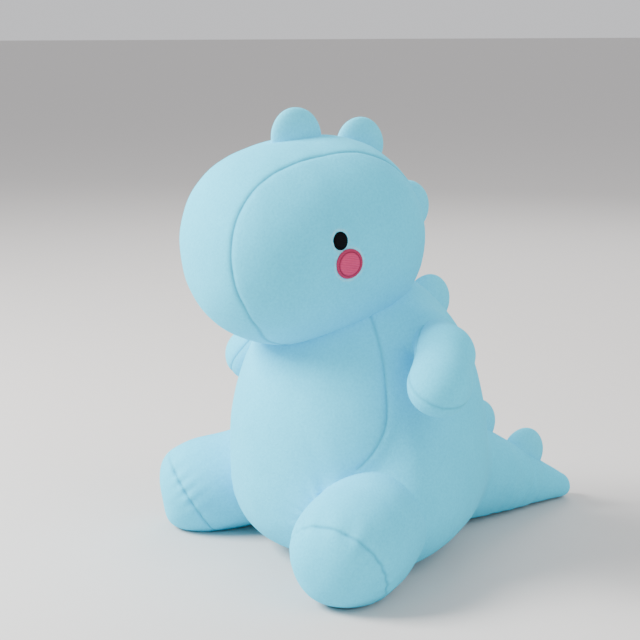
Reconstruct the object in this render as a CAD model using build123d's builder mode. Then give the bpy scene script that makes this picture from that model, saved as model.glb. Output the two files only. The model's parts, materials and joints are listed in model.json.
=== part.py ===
from build123d import *
import os
from math import acos, asin, atan2, degrees, hypot, radians, sin

os.makedirs("parts", exist_ok=True)

# A sitting plush dinosaur. Each stuffed body is a pouch: cloth panels sewn edge to edge round
# a fill of polyester fibre. Head, arms, legs and tail are pouches of their own, sewn to the
# torso, and each swings a little on its seam. Millimetres.
# X runs to the dinosaur's left, Y to its back, Z up; the origin is the middle of the flat seat.

# ------------------------------------------------------------------ driving dimensions
# cloth, fill and clearances
cloth = 2.0                # short-pile cloth, backing and pile together
fill_gap = 0.2             # between a cloth panel and the fill behind it
swing_gap = 0.5            # between two bodies at the round seat of a joint
stitch_depth = 0.8         # height of satin embroidery over the cloth

# torso: a form of revolution about Z
seat_radius = 70.0
haunch_radius = 117.0
haunch_height = 40.0
belly_radius = 128.0
belly_height = 100.0
shoulder_radius = 92.0
shoulder_height = 220.0
torso_height = 286.0
belly_seam_depth = 40.0    # the belly panel is the cloth further forward than this
seat_seam_height = 11.0    # the seat panel is the cloth below this
seat_rise = 0.12           # slope at which the torso leaves its flat seat

# neck: a ball on the torso in a round seat in the head
neck_back = -12.0          # ahead of the middle of the seat
neck_rise = 4.0            # over the shoulder ring
neck_radius = 54.0
neck_relief = 14.0         # room under the head for its nod

# head: half an ellipse behind and a blunt muzzle in front, turned about an axis that dips
head_length = 230.0
head_radius = 97.0
head_dip = 4.5             # degrees
head_fullness = 2.6        # 2 is an ellipse, more is squarer
head_forward_of_neck = 46.0
head_sink = 12.5           # the head's underside, below the neck's pivot
gusset_width = 90.0        # strip of cloth over the middle of the head

# arms
shoulder_y = 8.0
arm_ball_radius = 30.0
elbow_radius = 27.0
hand_radius = 27.5
elbow_clear = 8.0          # elbow outside the belly's widest ring
elbow_forward = 10.0
hand_out = 26.0
hand_forward = 23.0
elbow_drop = {"left": 4.0, "right": 10.0}
hand_drop = {"left": 20.0, "right": 45.0}
arm_swing = 12.0           # degrees each way that the arm's seat leaves room for
bend_step = 0.6            # the limb past a bend starts this much inside the one before it

# legs
hip_sink = 40.0            # hip inside the belly's widest ring
hip_y = -28.0
leg_ball_radius = 56.0
foot_radius = 50.0
foot_out = 38.0            # toe end, measured from the hip
foot_forward = 71.0
foot_lift = 0.5            # between the foot and the floor
sole_setback = 12.0        # from the centre of the foot forward to the sole seam
leg_swing = 10.0

# tail
tail_sink = 18.0           # root of the tail inside the belly's widest ring
tail_ball_radius = 56.0
tail_length = 155.0        # from the root to the middle of the round tip
tail_tip_radius = 11.0
tail_lift = 1.0            # between the tip and the floor
tail_swing = 10.0
ball_lift = 2.0            # between the balls of hips and tail and the floor

# spikes: six flat stuffed half discs on the middle line
spike_radius = 27.0
spike_thickness = 22.0
spike_root = 25.0          # degrees that a spike's cloth runs on into its host, which cuts it
spike_bend = 5.0           # room between the spike over the tail's root and the torso

# degrees above straight back, from the middle of the pouch, at which each spike is sewn on
spike_angles = {
    "spike_1": 98.2,
    "spike_2": 56.0,
    "spike_3": 11.5,
    "spike_4": 11.0,
    "spike_5": 49.0,
    "spike_6": 0.0,
}

# embroidered face: ways are from the middle of the head, on the left side
eye_way = (95.3, -26.7, 11.7)
cheek_way = (96.6, -17.5, -10.2)
eye_width = 14.5
eye_height = 17.0
cheek_width = 27.0
cheek_height = 28.0

# ------------------------------------------------------------------ values that follow
neck_pivot = (0, neck_back, shoulder_height + neck_rise)
head_centre = (0, neck_back - head_forward_of_neck, neck_pivot[2] + head_radius - head_sink)
tail_root = (0, belly_radius - tail_sink, tail_ball_radius + ball_lift)
tail_tip = (0, tail_root[1] + tail_length, tail_tip_radius + tail_lift)
fill_inset = cloth + fill_gap
SIDES = {"left": 1, "right": -1}
SEAM_TURN = 37.0           # keeps the start line of a turned surface off every panel seam
WELL_SHARE = 0.9           # of a ball's radius: the open well between its seat and the floor
LEAVE_MARGIN = 2.0         # degrees past its swing at which a limb leaves its ball


def drawn_in(points, first_way, last_way, amount):
    """Shift the points of an open outline to the left of its run by amount."""
    shifted = []
    last = len(points) - 1
    for number, (across, up) in enumerate(points):
        if number == 0:
            way = Vector(*first_way)
        elif number == last:
            way = Vector(*last_way)
        else:
            way = Vector(*points[number + 1]) - Vector(*points[number - 1])
        way = way.normalized()
        shifted.append((across - way.Y * amount, up + way.X * amount))
    return shifted


def limb(start, end, start_radius, end_radius, turn=None):
    """A round-ended cone from start to end.

    The cone leaves the start ball turn degrees past the ball's equator, or where it is tangent.
    """
    along = Vector(*end) - Vector(*start)
    length = along.length
    if turn is None:
        turn = degrees(asin((start_radius - end_radius) / length))
    leave_x = start_radius * sin(radians(turn))
    leave_y = start_radius * sin(radians(90 - turn))
    reach = hypot(leave_x - length, leave_y)
    meet = degrees(atan2(leave_y, leave_x - length) - acos(end_radius / reach))
    seam_side = along.cross(Vector(0, 0, 1)).rotate(Axis(start, along), SEAM_TURN)
    with BuildPart() as form:
        with BuildSketch(Plane(origin=start, x_dir=along, z_dir=seam_side)):
            with BuildLine():
                back = CenterArc((0, 0), start_radius, 90 - turn, 90 + turn)
                front = CenterArc((length, 0), end_radius, 0, meet)
                Line(back @ 0, front @ 1)
                Line(back @ 1, front @ 0)
            make_face()
        revolve(axis=Axis(start, along))
    return form.part


def ball(centre, radius):
    with BuildPart() as form:
        with Locations(centre):
            Sphere(radius)
    return form.part


def floor_well(centre, radius):
    """A cylinder from the centre down through the floor."""
    with BuildPart() as form:
        with BuildSketch(Plane.XY.offset(centre[2])):
            with Locations((centre[0], centre[1])):
                Circle(radius)
        extrude(amount=-2 * centre[2])
    return form.part


# ------------------------------------------------------------------ forms of the pouches
# Each form takes an inset: 0 is the outside of the cloth, cloth its inside.

head_forward = Vector(0, -1, 0).rotate(Axis.X, head_dip)
head_down = Vector(0, 0, -1).rotate(Axis.X, head_dip)
MUZZLE_STATIONS = (0, 0.5, 0.85, 1)


def head_outline(inset):
    """The head before the neck's seat is taken out: half an ellipse behind, fuller in front."""
    half_length = head_length / 2 - inset
    radius = head_radius - inset
    muzzle = []
    for station in MUZZLE_STATIONS:
        fullness = (1 - station ** head_fullness) ** (1 / head_fullness)
        muzzle.append((half_length * station, radius * fullness))
    with BuildPart() as form:
        with BuildSketch(Plane(origin=head_centre, x_dir=head_forward, z_dir=head_down)):
            with BuildLine():
                back = EllipticalCenterArc((0, 0), half_length, radius, start_angle=90, arc_size=90)
                Spline(muzzle, tangents=[(1, 0), (0, -1)])
                Line(muzzle[-1], back @ 1)
            make_face()
        revolve(axis=Axis(head_centre, head_forward))
    return form.part


def head_form(inset):
    with BuildPart() as form:
        add(head_outline(inset))
        add(ball(neck_pivot, neck_radius + swing_gap), mode=Mode.SUBTRACT)
    return form.part


def shoulder(side):
    return (SIDES[side] * shoulder_radius, shoulder_y, shoulder_height)


def elbow(side):
    x, y, z = shoulder(side)
    return (SIDES[side] * (belly_radius + elbow_clear), y - elbow_forward, z - elbow_drop[side])


def hand(side):
    x, y, z = elbow(side)
    return (x + SIDES[side] * hand_out, y - hand_forward, z - hand_drop[side])


def hip(side):
    x = SIDES[side] * (belly_radius - hip_sink)
    return (x, hip_y, leg_ball_radius + ball_lift)


def foot(side):
    x, y, z = hip(side)
    return (x + SIDES[side] * foot_out, y - foot_forward, foot_radius + foot_lift)


def seat(start, end, ball_radius, end_radius, swing):
    """The hollow that a limb sits in, with room for its swing."""
    length = (Vector(*end) - Vector(*start)).length
    reach = end_radius + length * sin(radians(swing)) + 2 * swing_gap
    return limb(start, end, ball_radius + swing_gap, max(ball_radius + swing_gap, reach))


def arm_seat(side):
    return seat(shoulder(side), elbow(side), arm_ball_radius, elbow_radius, arm_swing)


def leg_seat(side):
    return seat(hip(side), foot(side), leg_ball_radius, foot_radius, leg_swing)


def tail_seat():
    return seat(tail_root, tail_tip, tail_ball_radius, tail_tip_radius, tail_swing)


def torso_outline(inset):
    """The torso with its neck, before the seats for the limbs are taken out."""
    lower = [(seat_radius, 0), (haunch_radius, haunch_height), (belly_radius, belly_height)]
    upper = [(belly_radius, belly_height), (shoulder_radius, shoulder_height), (0, torso_height)]
    out, up, back = (1, seat_rise), (0, 1), (-1, 0)
    lower = drawn_in(lower, out, up, inset)
    upper = drawn_in(upper, up, back, inset)
    with BuildPart() as form:
        with BuildSketch(Plane.XZ):
            with BuildLine():
                Spline(lower, tangents=[out, up])
                Spline(upper, tangents=[up, back])
                Polyline(upper[-1], (0, lower[0][1]), lower[0])
            make_face()
        revolve(axis=Axis.Z)
        add(head_outline(-neck_relief - inset), mode=Mode.SUBTRACT)
        add(ball(neck_pivot, neck_radius - inset))
    return form.part


def torso_form(inset):
    with BuildPart() as form:
        add(torso_outline(inset))
        for side in SIDES:
            add(arm_seat(side), mode=Mode.SUBTRACT)
            add(leg_seat(side), mode=Mode.SUBTRACT)
            add(floor_well(hip(side), leg_ball_radius * WELL_SHARE), mode=Mode.SUBTRACT)
        add(tail_seat(), mode=Mode.SUBTRACT)
        add(floor_well(tail_root, tail_ball_radius * WELL_SHARE), mode=Mode.SUBTRACT)
    return form.part


def arm_form(side, inset):
    start = shoulder(side)
    middle = elbow(side)
    bend = elbow_radius - inset - bend_step
    turn = arm_swing + LEAVE_MARGIN
    with BuildPart() as form:
        add(limb(start, middle, arm_ball_radius - inset, elbow_radius - inset, turn))
        add(limb(middle, hand(side), bend, hand_radius - inset))
    return form.part


def leg_form(side, inset):
    turn = leg_swing + LEAVE_MARGIN
    return limb(hip(side), foot(side), leg_ball_radius - inset, foot_radius - inset, turn)


def tail_form(inset):
    turn = tail_swing + LEAVE_MARGIN
    return limb(tail_root, tail_tip, tail_ball_radius - inset, tail_tip_radius - inset, turn)


def spike_plane(base, outward, sign, below):
    """A plane through a spike's middle whose Y runs along the host's skin, tipped into it."""
    along = outward.rotate(Axis.X, -90 - below)
    return Plane(origin=base, x_dir=(sign, 0, 0), z_dir=Vector(sign, 0, 0).cross(along))


def spike_cover(base, outward, sign):
    """The cloth of a round-edged half disc, on the side of the middle plane that sign gives."""
    half = spike_thickness / 2
    hollow = spike_radius - cloth
    with BuildPart() as form:
        with BuildSketch(spike_plane(base, outward, sign, spike_root)):
            with BuildLine():
                out = EllipticalCenterArc((0, 0), half, spike_radius, 0, arc_size=90)
                back = EllipticalCenterArc((0, 0), half - cloth, hollow, 0, arc_size=90)
                Line(out @ 0, back @ 0)
                Line(out @ 1, back @ 1)
            make_face()
        revolve(axis=Axis(base, (1, 0, 0)), revolution_arc=180 + 2 * spike_root)
    return form.part


def spike_core(base, outward):
    """The fill of a half disc."""
    half = spike_thickness / 2 - fill_inset
    tall = spike_radius - fill_inset
    with BuildPart() as form:
        with BuildSketch(spike_plane(base, outward, 1, 0)):
            with BuildLine():
                first = EllipticalCenterArc((0, 0), half, tall, 0, arc_size=90)
                second = EllipticalCenterArc((0, 0), half, tall, 90, arc_size=90)
                Line(second @ 1, first @ 0)
            make_face()
        revolve(axis=Axis(base, (1, 0, 0)), revolution_arc=180)
    return form.part


# ------------------------------------------------------------------ writing pieces
def keep(piece, name):
    piece.part.label = name
    export_step(piece.part, f"parts/{name}.step")


def keep_sides(planes):
    """Cut the piece at each plane, and keep what its normal points to."""
    for plane in planes:
        split(bisect_by=plane, keep=Keep.TOP)


def write_panels(outside, inside, panels):
    """Cut a pouch's cloth, outside less inside, into its panels: name -> seam planes."""
    for name, planes in panels.items():
        with BuildPart() as panel:
            add(outside)
            add(inside, mode=Mode.SUBTRACT)
            keep_sides(planes)
        keep(panel, name)


def write_fill(form, name):
    with BuildPart() as fill:
        add(form)
    keep(fill, name)


to_left = Plane(origin=(0, 0, 0), z_dir=(1, 0, 0))
to_right = Plane(origin=(0, 0, 0), z_dir=(-1, 0, 0))
halves = {"left": to_left, "right": to_right}

# ------------------------------------------------------------------ torso
to_front = Plane(origin=(0, -belly_seam_depth, 0), z_dir=(0, -1, 0))
to_rear = Plane(origin=(0, -belly_seam_depth, 0), z_dir=(0, 1, 0))
above_seat = Plane(origin=(0, 0, seat_seam_height), z_dir=(0, 0, 1))
below_seat = Plane(origin=(0, 0, seat_seam_height), z_dir=(0, 0, -1))

torso_panels = {
    "belly_panel": (to_front, above_seat),
    "side_panel_left": (to_rear, above_seat, to_left),
    "side_panel_right": (to_rear, above_seat, to_right),
    "seat_panel": (below_seat,),
}
write_panels(torso_form(0), torso_form(cloth), torso_panels)
write_fill(torso_form(fill_inset), "torso_fill")

# ------------------------------------------------------------------ head
half_gusset = gusset_width / 2
head_panels = {
    "head_gusset": (
        Plane(origin=(half_gusset, 0, 0), z_dir=(-1, 0, 0)),
        Plane(origin=(-half_gusset, 0, 0), z_dir=(1, 0, 0)),
    ),
    "head_side_left": (Plane(origin=(half_gusset, 0, 0), z_dir=(1, 0, 0)),),
    "head_side_right": (Plane(origin=(-half_gusset, 0, 0), z_dir=(-1, 0, 0)),),
}
write_panels(head_form(0), head_form(cloth), head_panels)
write_fill(head_form(fill_inset), "head_fill")

# ------------------------------------------------------------------ arms
for side, sign in SIDES.items():
    along = Vector(*hand(side)) - Vector(*shoulder(side))
    over = along.cross(Vector(0, sign, 0))
    arm_panels = {
        f"arm_{side}_upper": (Plane(origin=shoulder(side), z_dir=over),),
        f"arm_{side}_under": (Plane(origin=shoulder(side), z_dir=-over),),
    }
    write_panels(arm_form(side, 0), arm_form(side, cloth), arm_panels)
    write_fill(arm_form(side, fill_inset), f"arm_{side}_fill")

# ------------------------------------------------------------------ legs
for side, sign in SIDES.items():
    along = Vector(*foot(side)) - Vector(*hip(side))
    outward = along.cross(Vector(0, 0, -sign))
    sole_seam = Vector(*foot(side)) + along.normalized() * sole_setback
    to_hip = Plane(origin=sole_seam, z_dir=-along)
    leg_panels = {
        f"leg_{side}_outer": (to_hip, Plane(origin=hip(side), z_dir=outward)),
        f"leg_{side}_inner": (to_hip, Plane(origin=hip(side), z_dir=-outward)),
        f"leg_{side}_sole": (Plane(origin=sole_seam, z_dir=along),),
    }
    write_panels(leg_form(side, 0), leg_form(side, cloth), leg_panels)
    write_fill(leg_form(side, fill_inset), f"leg_{side}_fill")

# ------------------------------------------------------------------ tail
tail_outside = tail_form(0)
tail_panels = {f"tail_{side}": (half,) for side, half in halves.items()}
write_panels(tail_outside, tail_form(cloth), tail_panels)
write_fill(tail_form(fill_inset), "tail_fill")


# ------------------------------------------------------------------ spikes
def surface_place(form, origin, way):
    """Where a ray from inside a form leaves it, and the outward direction there."""
    hits = form.find_intersection_points(Axis(origin, way))
    ahead = [hit for hit in hits if (hit[0] - Vector(*origin)).dot(Vector(*way)) > 0]
    return ahead[-1]


def ray_up(angle):
    """A direction in the middle plane, angle degrees above straight back."""
    return Vector(0, 1, 0).rotate(Axis.X, angle)


head_skin = head_outline(0)
torso_skin = torso_outline(0)
behind_torso = Plane(origin=(0, belly_radius + spike_bend, 0), z_dir=(0, 1, 0))
spine = {
    "spike_1": (head_skin, head_centre, ()),
    "spike_2": (head_skin, head_centre, ()),
    "spike_3": (head_skin, head_centre, ()),
    "spike_4": (torso_skin, (0, 0, shoulder_height), ()),
    "spike_5": (tail_outside, tail_root, (behind_torso,)),
    "spike_6": (tail_outside, tail_root, ()),
}
for name, (host, origin, limits) in spine.items():
    base, outward = surface_place(host, origin, ray_up(spike_angles[name]))
    for side, sign in SIDES.items():
        with BuildPart() as cover:
            add(spike_cover(base, outward, sign))
            keep_sides(limits)
            add(host, mode=Mode.SUBTRACT)
        keep(cover, f"{name}_{side}")
    with BuildPart() as fill:
        add(spike_core(base + outward * fill_gap, outward))
        keep_sides(limits)
    keep(fill, f"{name}_fill")

# ------------------------------------------------------------------ embroidered face
head_thread = head_outline(-stitch_depth)
face_rays = {
    "eye": (eye_way, eye_width, eye_height),
    "cheek": (cheek_way, cheek_width, cheek_height),
}
for patch, (way, width, height) in face_rays.items():
    for side, sign in SIDES.items():
        place, outward = surface_place(head_skin, head_centre, (sign * way[0], way[1], way[2]))
        across = Vector(0, 0, 1).cross(outward)
        with BuildPart() as stitches:
            with BuildSketch(Plane(origin=place, x_dir=across, z_dir=outward)):
                Ellipse(width / 2, height / 2)
            extrude(amount=height, both=True)
            add(head_thread, mode=Mode.INTERSECT)
            add(head_skin, mode=Mode.SUBTRACT)
        keep(stitches, f"{patch}_{side}")
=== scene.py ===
"""A sitting stuffed dinosaur: short-pile plush skins, sewn spikes and an embroidered face."""

import json
import math

import bmesh
import bpy
import numpy as np
from bpy.props import FloatProperty, FloatVectorProperty, PointerProperty
from bpy.types import Operator, Panel, PropertyGroup
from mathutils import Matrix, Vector, noise


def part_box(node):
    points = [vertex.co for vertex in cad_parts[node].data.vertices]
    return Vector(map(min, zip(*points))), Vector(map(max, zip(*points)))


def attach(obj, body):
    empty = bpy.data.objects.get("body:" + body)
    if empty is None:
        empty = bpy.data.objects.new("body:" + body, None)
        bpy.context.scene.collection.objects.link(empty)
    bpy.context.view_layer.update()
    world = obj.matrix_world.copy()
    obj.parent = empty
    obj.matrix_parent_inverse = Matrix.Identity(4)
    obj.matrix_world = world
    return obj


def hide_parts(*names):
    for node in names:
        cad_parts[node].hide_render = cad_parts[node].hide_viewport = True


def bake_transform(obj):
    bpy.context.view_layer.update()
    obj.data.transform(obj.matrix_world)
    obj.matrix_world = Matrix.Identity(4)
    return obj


bl_info = {
    "name": "Stuffed Dinosaur",
    "version": (1, 0, 0),
    "blender": (4, 5, 0),
    "location": "View3D > Sidebar > Stuffed Dinosaur",
    "description": "Sews the plush skins, spikes and embroidered face of a sitting dinosaur",
    "category": "Object",
}

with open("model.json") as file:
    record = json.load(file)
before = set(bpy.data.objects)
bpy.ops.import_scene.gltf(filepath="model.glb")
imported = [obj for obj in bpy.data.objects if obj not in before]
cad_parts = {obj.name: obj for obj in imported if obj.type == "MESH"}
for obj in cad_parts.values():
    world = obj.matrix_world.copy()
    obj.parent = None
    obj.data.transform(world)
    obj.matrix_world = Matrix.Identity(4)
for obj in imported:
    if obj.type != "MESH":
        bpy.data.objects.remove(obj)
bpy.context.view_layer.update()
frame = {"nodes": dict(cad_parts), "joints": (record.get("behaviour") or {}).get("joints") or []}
PIVOT = {joint["child"]: Vector(joint["pos_m"]) for joint in frame["joints"]}
SIDES = {"left": 1, "right": -1}


def centre_of(node):
    """The middle of a CAD node's box."""
    low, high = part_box(node)
    return (Vector(low) + Vector(high)) / 2


# ------------------------------------------------------------------ sizes and colours


class DinoSizes(PropertyGroup):
    """Sizes of the sewn shapes, in metres."""

    muzzle_length: FloatProperty(
        name="Muzzle Length", description="From the middle of the head to the muzzle",
        default=0.125, unit="LENGTH")
    crown_length: FloatProperty(
        name="Crown Length", description="From the middle of the head to its back",
        default=0.108, unit="LENGTH")
    head_radius: FloatProperty(
        name="Head Radius", description="Half the head's width",
        default=0.0968, unit="LENGTH")
    head_dip: FloatProperty(
        name="Head Dip", description="How far the head's axis points down",
        default=math.radians(4.4), subtype="ANGLE")
    head_ahead: FloatProperty(
        name="Head Ahead", description="Middle of the head ahead of the neck",
        default=0.0415, unit="LENGTH")
    head_rise: FloatProperty(
        name="Head Rise", description="Middle of the head over the neck's pivot",
        default=0.0852, unit="LENGTH")
    gusset_width: FloatProperty(
        name="Gusset Width", description="Strip of cloth over the middle of the head",
        default=0.097, unit="LENGTH")
    belly_radius: FloatProperty(
        name="Belly Radius", description="Widest ring of the torso",
        default=0.127, unit="LENGTH")
    belly_height: FloatProperty(
        name="Belly Height", description="Height of the widest ring",
        default=0.100, unit="LENGTH")
    torso_height: FloatProperty(
        name="Torso Height", description="Top of the torso, inside the head",
        default=0.280, unit="LENGTH")
    leg_root: FloatProperty(
        name="Leg Root Radius", description="Radius of a leg at the hip",
        default=0.056, unit="LENGTH")
    thigh_rise: FloatProperty(
        name="Thigh Rise", description="How far the thigh's middle is over the hip's",
        default=0.008, unit="LENGTH")
    leg_radius: FloatProperty(
        name="Leg Radius", description="Radius of a leg before the sole",
        default=0.0530, unit="LENGTH")
    foot_radius: FloatProperty(
        name="Foot Radius", description="Radius of a foot's round end",
        default=0.050, unit="LENGTH")
    tail_root: FloatProperty(
        name="Tail Root Radius", description="Radius of the tail at the torso",
        default=0.056, unit="LENGTH")
    tail_tip: FloatProperty(
        name="Tail Tip Radius", description="Radius of the tail's tip",
        default=0.0135, unit="LENGTH")
    arm_root: FloatProperty(
        name="Arm Root Radius", description="Radius of an arm at the shoulder",
        default=0.0225, unit="LENGTH")
    hand_radius: FloatProperty(
        name="Hand Radius", description="Radius of a hand",
        default=0.0275, unit="LENGTH")
    spike_radius: FloatProperty(
        name="Spike Radius", description="Height of a half-disc spike",
        default=0.0268, unit="LENGTH")
    spike_thickness: FloatProperty(
        name="Spike Thickness", description="Thickness of a stuffed spike",
        default=0.021, unit="LENGTH")
    seam_depth: FloatProperty(
        name="Seam Depth", description="How deep the thread pulls a seam in",
        default=0.0014, unit="LENGTH")
    seam_width: FloatProperty(
        name="Seam Width", description="How far beside the thread the cloth dips",
        default=0.0016, unit="LENGTH")
    lump_height: FloatProperty(
        name="Lump Height", description="Unevenness of the stuffing",
        default=0.0010, unit="LENGTH")


class DinoColours(PropertyGroup):
    """Colours of the cloth, threads and floor."""

    pile: FloatVectorProperty(
        name="Pile", description="Short pile of the body",
        default=(0.058, 0.69, 1.0), subtype="COLOR", min=0, max=1)
    # The spikes' pile is the body's pile painted lighter: painted light from above falling on the
    # spikes.
    spike_pile_painted_lighter: FloatVectorProperty(
        name="Spike Pile", description="Short pile of the spikes",
        default=(0.085, 0.71, 1.0), subtype="COLOR", min=0, max=1)
    eye: FloatVectorProperty(
        name="Eye Thread", description="Satin thread of the eyes",
        default=(0.0004, 0.0008, 0.0025), subtype="COLOR", min=0, max=1)
    cheek: FloatVectorProperty(
        name="Cheek Thread", description="Satin thread of the cheeks",
        default=(0.62, 0.060, 0.17), subtype="COLOR", min=0, max=1)
    floor: FloatVectorProperty(
        name="Floor", description="Plain studio floor",
        default=(0.62, 0.60, 0.585), subtype="COLOR", min=0, max=1)


# ------------------------------------------------------------------ shader expressions


class Wire:
    """A shader socket that takes part in Python expressions."""

    def __init__(self, shader, socket):
        self.shader = shader
        self.socket = socket

    def _join(self, operation, first, second):
        return self.shader.node("ShaderNodeMath", {"operation": operation}, {0: first, 1: second})

    def __add__(self, other):
        return self._join("ADD", self, other)

    def __sub__(self, other):
        return self._join("SUBTRACT", self, other)

    def __rsub__(self, other):
        return self._join("SUBTRACT", other, self)

    def __mul__(self, other):
        return self._join("MULTIPLY", self, other)

    __radd__ = __add__
    __rmul__ = __mul__


class Shader:
    """A material's node tree and its Principled surface."""

    def __init__(self, name):
        self.material = bpy.data.materials.new(name)
        self.material.use_nodes = True
        self.tree = self.material.node_tree
        self.surface = self.tree.nodes["Principled BSDF"]
        self.place = self.node("ShaderNodeTexCoord", {}, {}, "Object")

    def node(self, kind, settings, inputs, output=0):
        """A node with its settings made first, then the values or links of its sockets."""
        made = self.tree.nodes.new(kind)
        for name, value in settings.items():
            if name == "stops":
                ramp = made.color_ramp
                while len(ramp.elements) < len(value):
                    ramp.elements.new(1)
                for element, (position, colour) in zip(ramp.elements, value):
                    element.position = position
                    element.color = (*colour, 1)
            else:
                setattr(made, name, value)
        for name, value in inputs.items():
            self.feed(made.inputs[name], value)
        return Wire(self, made.outputs[output])

    def feed(self, socket, value):
        if isinstance(value, Wire):
            self.tree.links.new(value.socket, socket)
        elif hasattr(value, "__len__") and socket.type == "RGBA":
            socket.default_value = (*value[:3], 1)
        else:
            socket.default_value = value

    def noise(self, scale, detail=2.0, roughness=0.5):
        inputs = {"Vector": self.place, "Scale": scale, "Detail": detail, "Roughness": roughness}
        return self.node("ShaderNodeTexNoise", {}, inputs)

    def ramp(self, factor, stops):
        return self.node("ShaderNodeValToRGB", {"stops": stops}, {"Fac": factor})

    def mix(self, factor, first, second, blend="MIX"):
        settings = {"data_type": "RGBA", "blend_type": blend}
        return self.node("ShaderNodeMix", settings, {0: factor, 6: first, 7: second}, 2)

    def bump(self, height, depth):
        return self.node("ShaderNodeBump", {}, {"Height": height, "Distance": depth})

    def set(self, **values):
        for name, value in values.items():
            self.feed(self.surface.inputs[name.replace("_", " ")], value)
        return self.material


def shade(colour, factor):
    """A colour made darker or lighter."""
    return tuple(min(1.0, channel * factor) for channel in colour)


TUFT_SCALE = 420.0         # tufts of pile to the metre
FIBRE_SCALE = 1300.0
PATCH_SCALE = 34.0         # where the pile lies one way or the other


def plush(name, colour):
    """Short super-soft pile: brushed patches, small tufts and fine fibres."""
    made = Shader(name)
    patch = made.noise(PATCH_SCALE, detail=3, roughness=0.6)
    tuft = made.noise(TUFT_SCALE, detail=2, roughness=0.55)
    fibre = made.noise(FIBRE_SCALE, detail=2, roughness=0.7)
    depth = tuft * 0.6 + fibre * 0.4
    # Low pile between the tufts is painted darker and high pile lighter: painted shade among the
    # tufts.
    base = made.ramp(depth, ((0.30, shade(colour, 0.90)), (0.62, shade(colour, 1.05))))
    sewn = made.node("ShaderNodeAttribute", {"attribute_name": "sewn"}, {}, "Fac")
    halo = made.node("ShaderNodeAttribute", {"attribute_name": "halo"}, {}, "Fac")
    # Seam lines are painted darker: painted shade in the seam's valley.
    base = made.mix(sewn * 0.60, base, shade(colour, 0.55))
    base = made.mix(halo * 0.40, base, (0.55, 0.85, 0.97))
    lain = made.ramp(patch, ((0.32, (0.95, 0.96, 0.965)), (0.68, (1.0, 1.0, 1.0))))
    made.set(
        Base_Color=made.mix(1.0, base, lain, "MULTIPLY"),
        Roughness=made.node("ShaderNodeMapRange", {}, {0: depth, 3: 0.95, 4: 0.78}),
        Normal=made.bump(depth + patch * 0.3, 0.0005),
    )
    return made.set(
        Sheen_Weight=0.09, Sheen_Roughness=0.55, Sheen_Tint=(0.40, 0.85, 1.0),
        Specular_IOR_Level=0.10)


THREAD_SCALE = 1250.0      # satin threads to the metre


def satin(name, colour, rim, gloss):
    """Satin stitches side by side, each thread a rounded ridge."""
    made = Shader(name)
    wobble = made.noise(300.0, detail=2)
    settings = {"wave_type": "BANDS", "bands_direction": "Z", "wave_profile": "SIN"}
    inputs = {"Vector": made.place, "Scale": THREAD_SCALE / 20 * math.pi, "Distortion": 1.2,
              "Detail": 1.0, "Detail Scale": 2.0}
    thread = made.node("ShaderNodeTexWave", settings, inputs, "Fac")
    edge = made.node("ShaderNodeAttribute", {"attribute_name": "rim"}, {}, "Fac")
    tone = made.mix(thread * 0.5 + wobble * 0.5, shade(colour, 0.72), shade(colour, 1.18))
    made.set(
        Base_Color=made.mix(edge, tone, rim),
        Roughness=made.node("ShaderNodeMapRange", {}, {0: thread, 3: gloss + 0.2, 4: gloss}),
        Normal=made.bump(thread + wobble * 0.4, 0.0003),
    )
    return made.set(Specular_IOR_Level=0.08)


def matt_floor(name, colour):
    """A plain floor with a faint grain."""
    made = Shader(name)
    grain = made.noise(60.0, detail=4, roughness=0.6)
    made.set(
        Base_Color=made.ramp(grain, ((0.2, shade(colour, 0.985)), (0.8, colour))),
        Roughness=made.node("ShaderNodeMapRange", {}, {0: grain, 3: 0.9, 4: 0.8}),
    )
    return made.material


# ------------------------------------------------------------------ stuffed forms
# A form is a function from points, an array of rows x y z, to their distances outside it.


def lengths(rows):
    """The length of each row."""
    return np.sqrt((rows * rows).sum(axis=1))


def round_cone(start, end, start_radius, end_radius):
    """A round-ended cone, as a stuffed limb is.

    Each point belongs to the ball at one end, the ball at the other, or the cone between.
    """
    start, end = np.array(start), np.array(end)
    along = end - start
    square = along @ along
    drop = start_radius - end_radius
    slant = square - drop * drop

    def form(points):
        away = points - start
        run = away @ along
        past = run - square
        side = away * square - np.outer(run, along)
        across = (side * side).sum(axis=1)
        run_square = run * run * square
        past_square = past * past * square
        limit = np.sign(drop) * drop * drop * across
        distance = (np.sqrt(across * slant / square) + run * drop) / square - start_radius
        before = np.sign(run) * slant * run_square < limit
        distance = np.where(before, np.sqrt(across + run_square) / square - start_radius, distance)
        after = np.sign(past) * slant * past_square > limit
        return np.where(after, np.sqrt(across + past_square) / square - end_radius, distance)

    return form


def egg(centre, axis, radius, ahead, behind, full_ahead, full_behind):
    """A body of revolution: half a superellipse ahead of its centre and half behind."""
    centre, axis = np.array(centre), np.array(axis)

    def form(points):
        away = points - centre
        run = away @ axis
        across = lengths(away - np.outer(run, axis)) / radius
        front = (np.abs(run) / ahead) ** full_ahead + across ** full_ahead
        back = (np.abs(run) / behind) ** full_behind + across ** full_behind
        reach = np.where(run > 0, front ** (1 / full_ahead), back ** (1 / full_behind))
        return lengths(away) * (1 - 1 / np.maximum(reach, 1e-6))

    return form


def sewn_together(first, second, softness):
    """The union of two forms, with a soft valley where they meet.

    The softness is a length, or a function from points to lengths.
    """

    def form(points):
        one, two = first(points), second(points)
        soft = softness(points) if callable(softness) else softness
        near = np.maximum(soft - np.abs(one - two), 0) / soft
        return np.minimum(one, two) - near * near * soft / 4

    return form


def smooth_share(values, low, high):
    """0 below low, 1 above high, and smooth between them."""
    share = np.clip((values - low) / (high - low), 0, 1)
    return share * share * (3 - 2 * share)


# ------------------------------------------------------------------ mesh work


def points_of(bm):
    return np.array([vert.co for vert in bm.verts])


def move_points(bm, points):
    for vert, point in zip(bm.verts, points):
        vert.co = point


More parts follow.
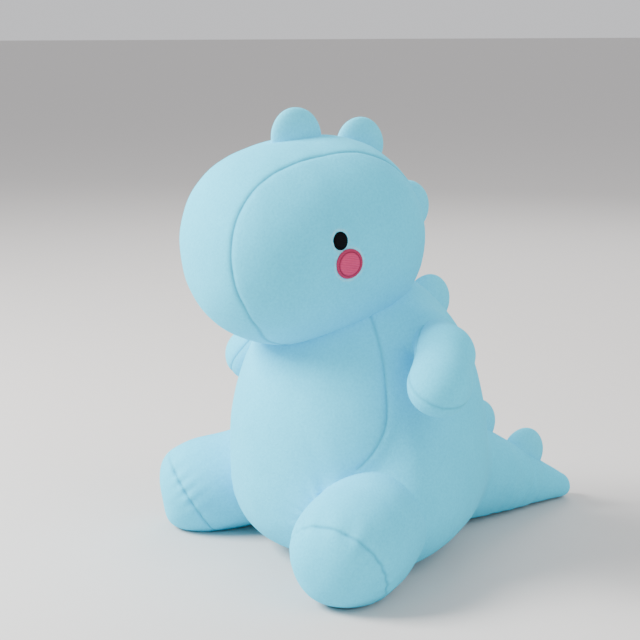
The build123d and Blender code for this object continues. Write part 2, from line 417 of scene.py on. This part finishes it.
def sphere(detail, centre):
    """A small icosphere, ready to be blown up."""
    bm = bmesh.new()
    bmesh.ops.create_icosphere(bm, subdivisions=detail, radius=1)
    move_points(bm, points_of(bm) * 0.001 + np.array(centre))
    return bm


def blown_up(bm, centre, form, reach):
    """Move each point straight out from the centre until it is on the form."""
    centre = np.array(centre)
    ways = points_of(bm) - centre
    ways /= lengths(ways)[:, None]
    near = np.zeros(len(ways))
    far = np.full(len(ways), reach)
    for _ in range(24):
        middle = (near + far) / 2
        inside = form(centre + ways * middle[:, None]) < 0
        near = np.where(inside, middle, near)
        far = np.where(inside, far, middle)
    move_points(bm, centre + ways * near[:, None])


def slope(form, points, step=0.0004):
    """Outward direction of a form at each point."""
    rise = np.empty_like(points)
    for axis in range(3):
        shift = np.zeros(3)
        shift[axis] = step
        rise[:, axis] = form(points + shift) - form(points - shift)
    return rise / np.maximum(lengths(rise), 1e-9)[:, None]


def settled(bm, form, rounds=6):
    """Move each point to the nearest place on the form."""
    points = points_of(bm)
    for _ in range(rounds):
        points = points - slope(form, points) * form(points)[:, None]
    move_points(bm, points)


LOOP_SHARE = 0.35          # how far the side loops lie from the thread, in seam widths


def cut_loops(bm, origin, normal, sizes):
    """Edge loops along a seam and just beside it."""
    beside = sizes.seam_width * LOOP_SHARE
    for shift in (-beside, 0, beside):
        place = Vector(origin) + Vector(normal).normalized() * shift
        geometry = bm.verts[:] + bm.edges[:] + bm.faces[:]
        bmesh.ops.bisect_plane(bm, geom=geometry, dist=1e-6, plane_co=place, plane_no=normal)


def normals_of(bm):
    bm.normal_update()
    return np.array([vert.normal for vert in bm.verts])


def ripple(points, scale, offset=0.0):
    """Smooth noise at each point, about -1 to 1."""
    shift = Vector((offset, offset * 0.7, -offset))
    return np.array([noise.noise(Vector(point) * scale + shift) for point in points])


def paint(bm, name, values):
    """Keep a value at each point, for the cloth's shader to read."""
    layer = bm.verts.layers.float.get(name) or bm.verts.layers.float.new(name)
    for vert, value in zip(bm.verts, values):
        vert[layer] = value


def pull_seams(bm, seams, sizes):
    """Draw the cloth in along each seam, unevenly, with small puckers beside the thread.

    A seam is (distances, strength): how far each point is from it, and 0 to 1 where it runs. Each
    seam line is also marked for painted shade in its valley.
    """
    points, normals = points_of(bm), normals_of(bm)
    puckers = ripple(points, 130.0)
    shift = np.zeros(len(points))
    sewn = np.zeros(len(points))
    for distances, strength in seams:
        apart = np.abs(distances(points) if callable(distances) else distances)
        apart = apart / sizes.seam_width
        share = strength(points) if callable(strength) else strength
        valley = np.exp(-apart) * sizes.seam_depth
        puff = apart * np.exp(-apart / 1.6) * sizes.seam_depth * 0.16
        crimp = puckers * np.exp(-apart / 1.8) * sizes.seam_depth * 0.30
        shift += share * (puff + crimp - valley)
        # sewn holds how much painted shade the seam line gets, strongest on the thread.
        sewn = np.maximum(sewn, share * np.exp(-apart * apart))
    move_points(bm, points + normals * shift[:, None])
    paint(bm, "sewn", sewn)


def stuff_unevenly(bm, sizes, offset):
    """The soft unevenness that fibre filling gives."""
    points, normals = points_of(bm), normals_of(bm)
    broad = ripple(points, 17.0, offset)
    fine = ripple(points, 46.0, offset + 3)
    shift = sizes.lump_height * (broad + fine * 0.45)
    move_points(bm, points + normals * shift[:, None])


def settle_on_floor(bm, height, spread):
    """Let the stuffing sag: the lowest cloth spreads out, and lies flat where it rests."""
    points, normals = points_of(bm), normals_of(bm)
    low = np.clip(1 - points[:, 2] / height, 0, 1) ** 2
    level = normals * np.array((1, 1, 0))
    points = points + level * (low * spread)[:, None]
    points[:, 2] = np.maximum(points[:, 2], 0)
    move_points(bm, points)


def finished(bm, name, material, body=None, smooth_level=0):
    """Make a mesh a piece of the toy, on a body if it doesn't bend between two."""
    bmesh.ops.recalc_face_normals(bm, faces=bm.faces)
    mesh = bpy.data.meshes.new(name)
    bm.to_mesh(mesh)
    bm.free()
    mesh.materials.append(material)
    mesh.shade_smooth()
    piece = bpy.data.objects.new(name, mesh)
    bpy.context.scene.collection.objects.link(piece)
    if smooth_level:
        soften = piece.modifiers.new("soften", "SUBSURF")
        soften.levels = soften.render_levels = smooth_level
    if body:
        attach(piece, body)
    return piece


def plane_distance(origin, normal):
    """A function from points to their distances from a plane."""
    origin = np.array(origin)
    way = np.array(Vector(normal).normalized())
    return lambda points: (points - origin) @ way


def sizes_of(context):
    return context.scene.dino_sizes


def colours_of(context):
    return context.scene.dino_colours


def material_named(name):
    return bpy.data.materials[name]


# ------------------------------------------------------------------ places


def head_axis(sizes):
    """The way the muzzle points."""
    return Vector((0, -math.cos(sizes.head_dip), -math.sin(sizes.head_dip)))


def head_centre(sizes):
    """The middle of the head's widest ring."""
    return PIVOT["head"] + Vector((0, -sizes.head_ahead, sizes.head_rise))


MUZZLE_FULLNESS = 2.55     # 2 is an ellipse, more is blunter
CROWN_FULLNESS = 2.1


def head_form(sizes):
    """The blunt egg of the head."""
    return egg(head_centre(sizes), head_axis(sizes), sizes.head_radius, sizes.muzzle_length,
               sizes.crown_length, MUZZLE_FULLNESS, CROWN_FULLNESS)


LEG_FULLNESS = {"left": 1.0, "right": 0.93}      # the right leg holds less filling
FOOT_BLUNTNESS = {"left": 2.5, "right": 3.2}
PAW_SETBACK = 0.027        # its widest ring is this far behind the foot's round end
PAW_AHEAD = 0.0765
PAW_BEHIND = 0.062


def hip(side):
    """Where a leg joins the seat."""
    return PIVOT[f"leg_{side}"]


def foot(side, sizes):
    """Middle of the foot's round end: its sole reaches furthest forward."""
    sink = sizes.leg_radius * (1 - LEG_FULLNESS[side])
    low, high = (Vector(corner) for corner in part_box(f"leg_{side}_sole"))
    outer = high.x if side == "left" else low.x
    return Vector((outer - SIDES[side] * sizes.foot_radius, low.y + sizes.foot_radius,
                   high.z - sizes.foot_radius - sink))


SHOULDER_SETBACK = 0.012


def arm_root(side):
    """Where an arm grows out of the shoulder, a little behind its pivot."""
    return PIVOT[f"arm_{side}"] + Vector((0, SHOULDER_SETBACK, 0))


def elbow_and_hand(side, sizes):
    """Middles of an arm's two balls: the bend, and the hand at its lowest and foremost."""
    sign = SIDES[side]
    low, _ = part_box(f"arm_{side}_under")
    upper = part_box(f"arm_{side}_upper")
    outer = upper[1][0] if sign > 0 else upper[0][0]
    hand = Vector((outer - sign * sizes.hand_radius, low[1] + sizes.hand_radius,
                   low[2] + sizes.hand_radius))
    shoulder = PIVOT[f"arm_{side}"]
    bend = Vector((hand.x - sign * 0.026, hand.y + 0.026,
                   shoulder.z + (hand.z - shoulder.z) * 0.17))
    return bend, hand


def tail_end(sizes):
    """Middle of the tail's round tip, which rests on the floor."""
    low, high = (Vector(corner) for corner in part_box("tail_left"))
    return Vector((0, high.y - sizes.tail_tip, sizes.tail_tip + 0.001))


def leg_form(side, sizes):
    """A fat thigh that runs into a blunt foot."""
    full = LEG_FULLNESS[side]
    start, end = hip(side), foot(side, sizes)
    along = (end - start).normalized()
    middle = end - along * PAW_SETBACK
    raised = start + Vector((0, 0, sizes.thigh_rise * full))
    radius = (sizes.leg_root - sizes.thigh_rise) * full
    thigh = round_cone(raised, raised + along * 0.02, radius - 0.0012, radius - 0.002)
    paw = egg(middle, along, sizes.leg_radius * full, PAW_AHEAD, PAW_BEHIND,
              FOOT_BLUNTNESS[side], 2.0)
    return sewn_together(thigh, paw, 0.020)


def crease_softness(points):
    """Sharp between the belly and a leg, soft where a haunch runs into the torso's side."""
    return 0.007 + 0.043 * smooth_share(points[:, 1], -0.066, -0.024)


def shoulder_softness(points):
    """Soft over the shoulder, sharp in the armpit."""
    return 0.006 + 0.026 * smooth_share(points[:, 2], 0.205, 0.240)


def torso_form(sizes):
    """The egg of the torso, with the roots of the legs and tail swelling out of it."""
    middle = Vector((0, 0, sizes.belly_height))
    form = egg(middle, (0, 0, 1), sizes.belly_radius, sizes.torso_height - sizes.belly_height,
               sizes.belly_height, 2.0, 3.0)
    for side in SIDES:
        ahead = (foot(side, sizes) - hip(side)) * 0.30
        raised = hip(side) + Vector((0, 0, sizes.thigh_rise))
        radius = (sizes.leg_root - sizes.thigh_rise) * LEG_FULLNESS[side]
        haunch = round_cone(raised, raised + ahead, radius, radius - 0.0045)
        form = sewn_together(form, haunch, crease_softness)
    for side in SIDES:
        root = arm_root(side)
        bend, _ = elbow_and_hand(side, sizes)
        cap = round_cone(root, root + (bend - root) * 0.4, sizes.arm_root - 0.001,
                         sizes.arm_root - 0.001)
        form = sewn_together(form, cap, shoulder_softness)
    start = PIVOT["tail"]
    way = (tail_end(sizes) - start).normalized()
    rump = round_cone(start - way * 0.02, start + way * 0.012, sizes.tail_root,
                      sizes.tail_root - 0.006)
    return sewn_together(form, rump, 0.030)


# ------------------------------------------------------------------ operators


class DINO_OT_cloth(Operator):
    """Mix the cloth and thread materials"""

    bl_idname = "dino.cloth"
    bl_label = "Cloth and Thread"

    def execute(self, context):
        colours = colours_of(context)
        plush("plush_body", colours.pile)
        # The spikes get a copy of the plush painted lighter, as painted light from above.
        plush("plush_spikes_painted_lighter", colours.spike_pile_painted_lighter)
        satin("eye_satin", colours.eye, shade(colours.eye, 0.8), 0.5)
        satin("cheek_satin", colours.cheek, shade(colours.cheek, 0.30), 0.5)
        return {"FINISHED"}


BELLY_SEAM = ((0, -0.036, 0.232), (0, 1, -0.12))      # a point on its plane, and the plane's normal


class DINO_OT_torso(Operator):
    """Blow up the torso and sew its belly and side panels"""

    bl_idname = "dino.torso"
    bl_label = "Torso"

    def execute(self, context):
        sizes = sizes_of(context)
        middle = Vector((0, 0, sizes.belly_height))
        bm = sphere(7, middle)
        blown_up(bm, middle, torso_form(sizes), 0.4)
        move_points(bm, points_of(bm) + self.seam_bend(points_of(bm)))
        cut_loops(bm, *BELLY_SEAM, sizes)
        apart = plane_distance(*BELLY_SEAM)(points_of(bm))
        move_points(bm, points_of(bm) - self.seam_bend(points_of(bm)))
        stuff_unevenly(bm, sizes, 1.0)
        pull_seams(bm, [(apart, self.above_legs)], sizes)
        self.gather_at_legs(bm, sizes)
        settle_on_floor(bm, 0.03, 0.004)
        skin = finished(bm, "torso_skin", material_named("plush_body"), "torso")
        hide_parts("belly_panel", "side_panel_left", "side_panel_right", "seat_panel",
                    "torso_fill")
        return {"FINISHED"}

    @staticmethod
    def seam_bend(points):
        """How far the belly seam curves forward as it comes down to the leg."""
        bend = np.zeros_like(points)
        bend[:, 1] = 0.024 * np.clip((0.165 - points[:, 2]) / 0.055, 0, 1.4) ** 2
        return bend

    @staticmethod
    def above_legs(points):
        """The belly seam runs down into the crease over the leg."""
        return 0.8 * smooth_share(points[:, 2], 0.106, 0.118)

    @staticmethod
    def gather_at_legs(bm, sizes):
        """Short folds in the belly where each leg is sewn on."""
        points, normals = points_of(bm), normals_of(bm)
        shift = np.zeros(len(points))
        for side in SIDES:
            start = np.array(hip(side))
            away = leg_form(side, sizes)(points)
            turn = np.arctan2(points[:, 2] - start[2], points[:, 0] - start[0])
            folds = np.sin(turn * 15 + 2.5 * np.sin(turn * 2.1 + 1.0))
            front = smooth_share(-points[:, 1], 0.035, 0.075)
            shift += front * folds * np.exp(-np.abs(away) / 0.010) * 0.0012
        move_points(bm, points + normals * shift[:, None])


class DINO_OT_head(Operator):
    """Blow up the head and sew the gusset over its middle"""

    bl_idname = "dino.head"
    bl_label = "Head"

    def execute(self, context):
        sizes = sizes_of(context)
        middle = head_centre(sizes)
        bm = sphere(7, middle)
        blown_up(bm, middle, head_form(sizes), 0.3)
        half = sizes.gusset_width / 2
        seams = []
        for sign in SIDES.values():
            cut_loops(bm, (sign * half, 0, 0), (sign, 0, 0), sizes)
        seams.append((np.abs(points_of(bm)[:, 0]) - half, 1.0))
        self.narrow_throat(bm)
        blown_up(bm, middle, head_form(sizes), 0.3)
        stuff_unevenly(bm, sizes, 5.0)
        pull_seams(bm, seams, sizes)
        self.dent_for_face(bm)
        skin = finished(bm, "head_skin", material_named("plush_body"), "head")
        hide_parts("head_gusset", "head_side_left", "head_side_right", "head_fill")
        return {"FINISHED"}

    @staticmethod
    def narrow_throat(bm):
        """The gusset tapers to the throat, so its seams draw together there."""
        points = points_of(bm)
        throat = PIVOT["head"].z
        taper = 0.22 * smooth_share(throat + 0.040 - points[:, 2], 0, 0.038)
        taper += 0.50 * smooth_share(throat + 0.018 - points[:, 2], 0, 0.022)
        points[:, 0] *= 1 - taper
        move_points(bm, points)

    @staticmethod
    def dent_for_face(bm):
        """Stitching draws the pile down round each patch, in small radial puckers."""
        points, normals = points_of(bm), normals_of(bm)
        shift = np.zeros(len(points))
        halo = np.zeros(len(points))
        for patch in ("eye", "cheek"):
            for side in SIDES:
                node = f"{patch}_{side}"
                low, high = (Vector(corner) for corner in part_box(node))
                middle = centre_of(node)
                across, up = points[:, 1] - middle.y, points[:, 2] - middle.z
                wide, tall = (high.y - low.y) / 2, (high.z - low.z) / 2
                ring = np.sqrt((across / wide) ** 2 + (up / tall) ** 2)
                out = (ring - 1) * (wide + tall) / 2
                turn = np.arctan2(up / tall, across / wide)
                wrinkle = 1 + 0.35 * np.sin(turn * 11 + 2 * np.sin(turn * 3))
                same_side = points[:, 0] * SIDES[side] > 0.03
                dip = np.where(out > 0, np.exp(-out / 0.0045) * wrinkle, 1.0)
                shift -= np.where(same_side, dip * 0.0016, 0)
                drawn = np.exp(-((out - 0.0009) / 0.0010) ** 2)
                halo = np.maximum(halo, np.where(same_side, drawn, 0))
        move_points(bm, points + normals * shift[:, None])
        paint(bm, "halo", halo)


class DINO_OT_legs(Operator):
    """Blow up the two legs and sew a sole on each"""

    bl_idname = "dino.legs"
    bl_label = "Legs"

    def execute(self, context):
        sizes = sizes_of(context)
        for side in SIDES:
            start, end = hip(side), foot(side, sizes)
            along = (end - start).normalized()
            middle = (start + end) / 2
            bm = sphere(7, middle)
            blown_up(bm, middle, leg_form(side, sizes), 0.2)
            sole_seam = (end + along * 0.020, along - Vector((0, 0, 0.42)))
            cut_loops(bm, *sole_seam, sizes)
            stuff_unevenly(bm, sizes, 9.0 if side == "left" else 13.0)
            self.wrinkle_foot(bm, sole_seam)
            thread = 0.3 + 0.7 * smooth_share(points_of(bm)[:, 0] - end.x, -0.014, 0.010)
            pull_seams(bm, [(plane_distance(*sole_seam), thread)], sizes)
            settle_on_floor(bm, 0.035, 0.006)
            skin = finished(bm, f"leg_{side}_skin", material_named("plush_body"))
            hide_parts(f"leg_{side}_outer", f"leg_{side}_inner", f"leg_{side}_sole",
                        f"leg_{side}_fill")
            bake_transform(skin)
        return {"FINISHED"}

    @staticmethod
    def wrinkle_foot(bm, sole_seam):
        """Folds that run from the sole seam back along the foot."""
        origin, along = np.array(sole_seam[0]), np.array(sole_seam[1].normalized())
        points, normals = points_of(bm), normals_of(bm)
        away = points - origin
        run = away @ along
        side = away - np.outer(run, along)
        turn = np.arctan2(side[:, 2], side[:, 0])
        folds = np.sin(turn * 17 + 3 * np.sin(turn * 2.3) + 60 * run)
        depth = np.where(run < 0, np.exp(run / 0.011), np.exp(-run / 0.006))
        move_points(bm, points + normals * (folds * depth * 0.0007)[:, None])


class DINO_OT_arms(Operator):
    """Blow up the two bent arms"""

    bl_idname = "dino.arms"
    bl_label = "Arms"

    def execute(self, context):
        sizes = sizes_of(context)
        for side, sign in SIDES.items():
            bend, hand = elbow_and_hand(side, sizes)
            upper = round_cone(arm_root(side), bend, sizes.arm_root, sizes.hand_radius - 0.0012)
            lower = round_cone(bend, hand, sizes.hand_radius - 0.0022, sizes.hand_radius + 0.0012)
            form = sewn_together(upper, lower, 0.006)
            bm = sphere(6, bend)
            blown_up(bm, bend, form, 0.2)
            forearm = (hand - bend).normalized()
            outward = Vector((sign * 0.75, -0.25, 0.60))
            edge_seam = (hand, outward - forearm * outward.dot(forearm))
            cut_loops(bm, *edge_seam, sizes)
            stuff_unevenly(bm, sizes, 17.0 if side == "left" else 21.0)
            pull_seams(bm, [(plane_distance(*edge_seam), 0.8)], sizes)
            skin = finished(bm, f"arm_{side}_skin", material_named("plush_body"), smooth_level=1)
            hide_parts(f"arm_{side}_upper", f"arm_{side}_under", f"arm_{side}_fill")
            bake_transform(skin)
        return {"FINISHED"}


class DINO_OT_tail(Operator):
    """Stretch and blow up the tail"""

    bl_idname = "dino.tail"
    bl_label = "Tail"

    def execute(self, context):
        sizes = sizes_of(context)
        start, end = PIVOT["tail"], tail_end(sizes)
        form = round_cone(start, end, sizes.tail_root, sizes.tail_tip)
        bm = sphere(7, (0, 0, 0))
        self.stretch(bm, start, end, sizes)
        settled(bm, form)
        middle_seam = ((0, 0, 0), (1, 0, 0))
        cut_loops(bm, *middle_seam, sizes)
        stuff_unevenly(bm, sizes, 25.0)
        pull_seams(bm, [(plane_distance(*middle_seam), 0.55)], sizes)
        self.crease(bm, start, end)
        settle_on_floor(bm, 0.025, 0.004)
        skin = finished(bm, "tail_skin", material_named("plush_body"))
        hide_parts("tail_left", "tail_right", "tail_fill")
        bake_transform(skin)
        return {"FINISHED"}

    @staticmethod
    def crease(bm, start, end):
        """Shallow folds across the tail, where it bends down to the seat."""
        origin, along = np.array(start), np.array((end - start).normalized())
        points, normals = points_of(bm), normals_of(bm)
        run = (points - origin) @ along
        fold = np.sin(run * 300 + points[:, 2] * 50 + ripple(points, 25.0, 4.0) * 3)
        place = smooth_share(run, 0.03, 0.06) * (1 - smooth_share(run, 0.11, 0.15))
        shift = 0.0005 * fold * place * smooth_share(np.abs(points[:, 0]), 0.004, 0.02)
        move_points(bm, points + normals * shift[:, None])

    @staticmethod
    def stretch(bm, start, end, sizes):
        """Draw a small sphere out over the tail's length."""
        along = np.array((end - start).normalized())
        length = (end - start).length
        unit = points_of(bm) * 1000
        run = unit @ along
        across = unit - np.outer(run, along)
        share = (run + 1) / 2
        place = -sizes.tail_root + share * (length + sizes.tail_root + sizes.tail_tip)
        width = sizes.tail_root + (sizes.tail_tip - sizes.tail_root) * share
        moved = np.array(start) + np.outer(place, along) + across * width[:, None]
        move_points(bm, moved)


class DINO_OT_spikes(Operator):
    """Stuff the six half-disc spikes down the middle of the back"""

    bl_idname = "dino.spikes"
    bl_label = "Spikes"

    def execute(self, context):
        sizes = sizes_of(context)
        for number in range(1, 7):
            name = f"spike_{number}"
            base, outward = self.base_of(name, sizes)
            bm = self.half_disc(base, outward, sizes)
            stuff_unevenly(bm, sizes, 30.0 + number)
            body = {1: "head", 2: "head", 3: "head", 4: "torso"}.get(number)
            # Spikes wear the plush copy painted lighter, as painted light from above.
            skin = finished(bm, f"{name}_skin", material_named("plush_spikes_painted_lighter"), body,
                            1)
            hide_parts(f"{name}_left", f"{name}_right", f"{name}_fill")
            if body is None:
                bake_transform(skin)
        return {"FINISHED"}

    @staticmethod
    def base_of(name, sizes):
        """Where a spike is sewn on, and the way it points: its core is half a disc there."""
        fill = frame["nodes"][f"{name}_fill"]
        points = np.array([vert.co for vert in fill.data.vertices])
        middle = points.mean(axis=0)
        host = {"spike_1": head_centre(sizes), "spike_2": head_centre(sizes),
                "spike_3": head_centre(sizes), "spike_4": PIVOT["head"],
                "spike_5": PIVOT["tail"], "spike_6": PIVOT["tail"]}[name]
        spread = np.linalg.svd(points - middle, full_matrices=False)[2]
        away = middle - np.array(host)
        away[0] = 0
        ways = [way for way in spread if abs(way[0]) < 0.5]
        outward = min(ways, key=lambda way: abs(np.ptp((points - middle) @ way) - 0.025))
        outward = outward * np.sign(outward @ away)
        foot_of = middle + outward * ((points - middle) @ outward).min()
        return Vector(foot_of), Vector(outward).normalized()

    @staticmethod
    def half_disc(base, outward, sizes):
        """Two rounds of cloth sewn at the rim: plump in the middle, pinched at the edge."""
        bm = bmesh.new()
        bmesh.ops.create_icosphere(bm, subdivisions=5, radius=1)
        side = Vector((1, 0, 0))
        along = side.cross(outward)
        unit = points_of(bm)
        ring = np.minimum(np.hypot(unit[:, 1], unit[:, 2]), 1)
        plump = (1 - ring ** 2.4) ** 0.62
        thick = np.sign(unit[:, 0]) * plump * sizes.spike_thickness / 2
        reach = sizes.spike_radius
        placed = (np.array(base) + np.outer(thick, side) + np.outer(unit[:, 1] * reach, along)
                  + np.outer(unit[:, 2] * reach, outward))
        move_points(bm, placed)
        return bm


class DINO_OT_face(Operator):
    """Embroider the eyes and cheeks on the sides of the head"""

    bl_idname = "dino.face"
    bl_label = "Embroidered Face"

    def execute(self, context):
        sizes = sizes_of(context)
        form = head_form(sizes)
        for patch, slot in (("eye", "eye_thread"), ("cheek", "cheek_thread")):
            for side, sign in SIDES.items():
                node = f"{patch}_{side}"
                low, high = (Vector(corner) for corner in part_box(node))
                middle = centre_of(node)
                bm = bmesh.new()
                bmesh.ops.create_icosphere(bm, subdivisions=5, radius=1)
                unit = points_of(bm)
                ring = np.minimum(np.hypot(unit[:, 1], unit[:, 2]), 1)
                flat = np.array(middle) + np.column_stack((
                    np.zeros(len(unit)), unit[:, 1] * (high.y - low.y) / 2,
                    unit[:, 2] * (high.z - low.z) / 2))
                move_points(bm, flat)
                settled(bm, form)
                seat = points_of(bm)
                out = slope(form, seat)
                groove = np.exp(-((ring - 0.80) / 0.045) ** 2)
                dome = 0.0011 * (1 - ring ** 4) + 0.0003 - groove * 0.0005
                lift = np.where(unit[:, 0] * sign > 0, dome, -0.0025) - 0.0012
                move_points(bm, seat + out * lift[:, None])
                border = smooth_share(ring, 0.80, 0.86)
                rim = np.maximum(groove, border * 0.45)
                piece = finished(bm, f"{node}_stitches", material_named(f"{patch}_satin"),
                                 "head")
                shown = piece.data.attributes.new("rim", "FLOAT", "POINT")
                shown.data.foreach_set("value", rim.astype(np.float32))
                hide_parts(node)
        return {"FINISHED"}


class DINO_OT_stage(Operator):
    """Set the floor, the soft lights and the camera"""

    bl_idname = "dino.stage"
    bl_label = "Studio Stage"

    def execute(self, context):
        colours = colours_of(context)
        bm = bmesh.new()
        bmesh.ops.create_grid(bm, x_segments=1, y_segments=1, size=60)
        mesh = bpy.data.meshes.new("studio_floor")
        bm.to_mesh(mesh)
        bm.free()
        mesh.materials.append(matt_floor("studio_floor", colours.floor))
        floor = bpy.data.objects.new("studio_floor", mesh)
        context.scene.collection.objects.link(floor)
        self.add_camera(context)
        self.add_lights(context)
        return {"FINISHED"}

    @staticmethod
    def add_camera(context):
        """Look at the toy's left side from its front, a little from above."""
        azimuth, elevation = math.radians(57), math.radians(11)
        back = Vector((math.sin(azimuth) * math.cos(elevation),
                       -math.cos(azimuth) * math.cos(elevation), math.sin(elevation)))
        data = bpy.data.cameras.new("camera")
        data.lens = 84.375
        data.sensor_width = 36
        camera = bpy.data.objects.new("camera", data)
        camera.location = (1.179, -0.811, 0.503)
        camera.rotation_euler = (-back).to_track_quat("-Z", "Y").to_euler()
        context.scene.collection.objects.link(camera)
        context.scene.camera = camera

    @staticmethod
    def add_lights(context):
        """Soft boxes in front, to the side and behind: place, size, power and colour."""
        middle = Vector((0, 0, 0.22))
        lamps = {
            "key": ((-0.9, -1.7, 1.6), 1.1, 166, (1.0, 0.99, 0.97)),
            "fill": ((2.2, 0.6, 1.9), 2.0, 38, (1.0, 0.94, 0.88)),
            "back": ((-1.5, 1.6, 1.7), 1.4, 24, (1.0, 1.0, 1.0)),
        }
        for name, (place, size, power, colour) in lamps.items():
            data = bpy.data.lights.new(name, "AREA")
            data.size = size
            data.energy = power
            data.color = colour
            lamp = bpy.data.objects.new(name, data)
            lamp.location = place
            way = middle - Vector(place)
            lamp.rotation_euler = way.to_track_quat("-Z", "Y").to_euler()
            context.scene.collection.objects.link(lamp)
        world = bpy.data.worlds.new("studio")
        world.use_nodes = True
        background = world.node_tree.nodes["Background"]
        background.inputs["Color"].default_value = (0.97, 0.97, 1.0, 1)
        background.inputs["Strength"].default_value = 0.80
        context.scene.world = world


class DINO_PT_workshop(Panel):
    """Lists the dinosaur's pieces in the sidebar"""

    bl_label = "Stuffed Dinosaur"
    bl_idname = "DINO_PT_workshop"
    bl_space_type = "VIEW_3D"
    bl_region_type = "UI"
    bl_category = "Stuffed Dinosaur"

    def draw(self, context):
        layout = self.layout
        for group in (context.scene.dino_sizes, context.scene.dino_colours):
            box = layout.box()
            for name in group.__annotations__:
                box.prop(group, name)
        for step in STEPS:
            layout.operator(step.bl_idname)


STEPS = (DINO_OT_cloth, DINO_OT_torso, DINO_OT_head, DINO_OT_legs, DINO_OT_arms,
         DINO_OT_tail, DINO_OT_spikes, DINO_OT_face, DINO_OT_stage)
CLASSES = (DinoSizes, DinoColours, *STEPS, DINO_PT_workshop)


def register():
    for cls in CLASSES:
        bpy.utils.register_class(cls)
    bpy.types.Scene.dino_sizes = PointerProperty(type=DinoSizes)
    bpy.types.Scene.dino_colours = PointerProperty(type=DinoColours)


def unregister():
    del bpy.types.Scene.dino_colours
    del bpy.types.Scene.dino_sizes
    for cls in reversed(CLASSES):
        bpy.utils.unregister_class(cls)


def main():
    register()
    for step in STEPS:
        group, name = step.bl_idname.split(".")
        getattr(getattr(bpy.ops, group), name)()


if __name__ == "__main__":
    main()
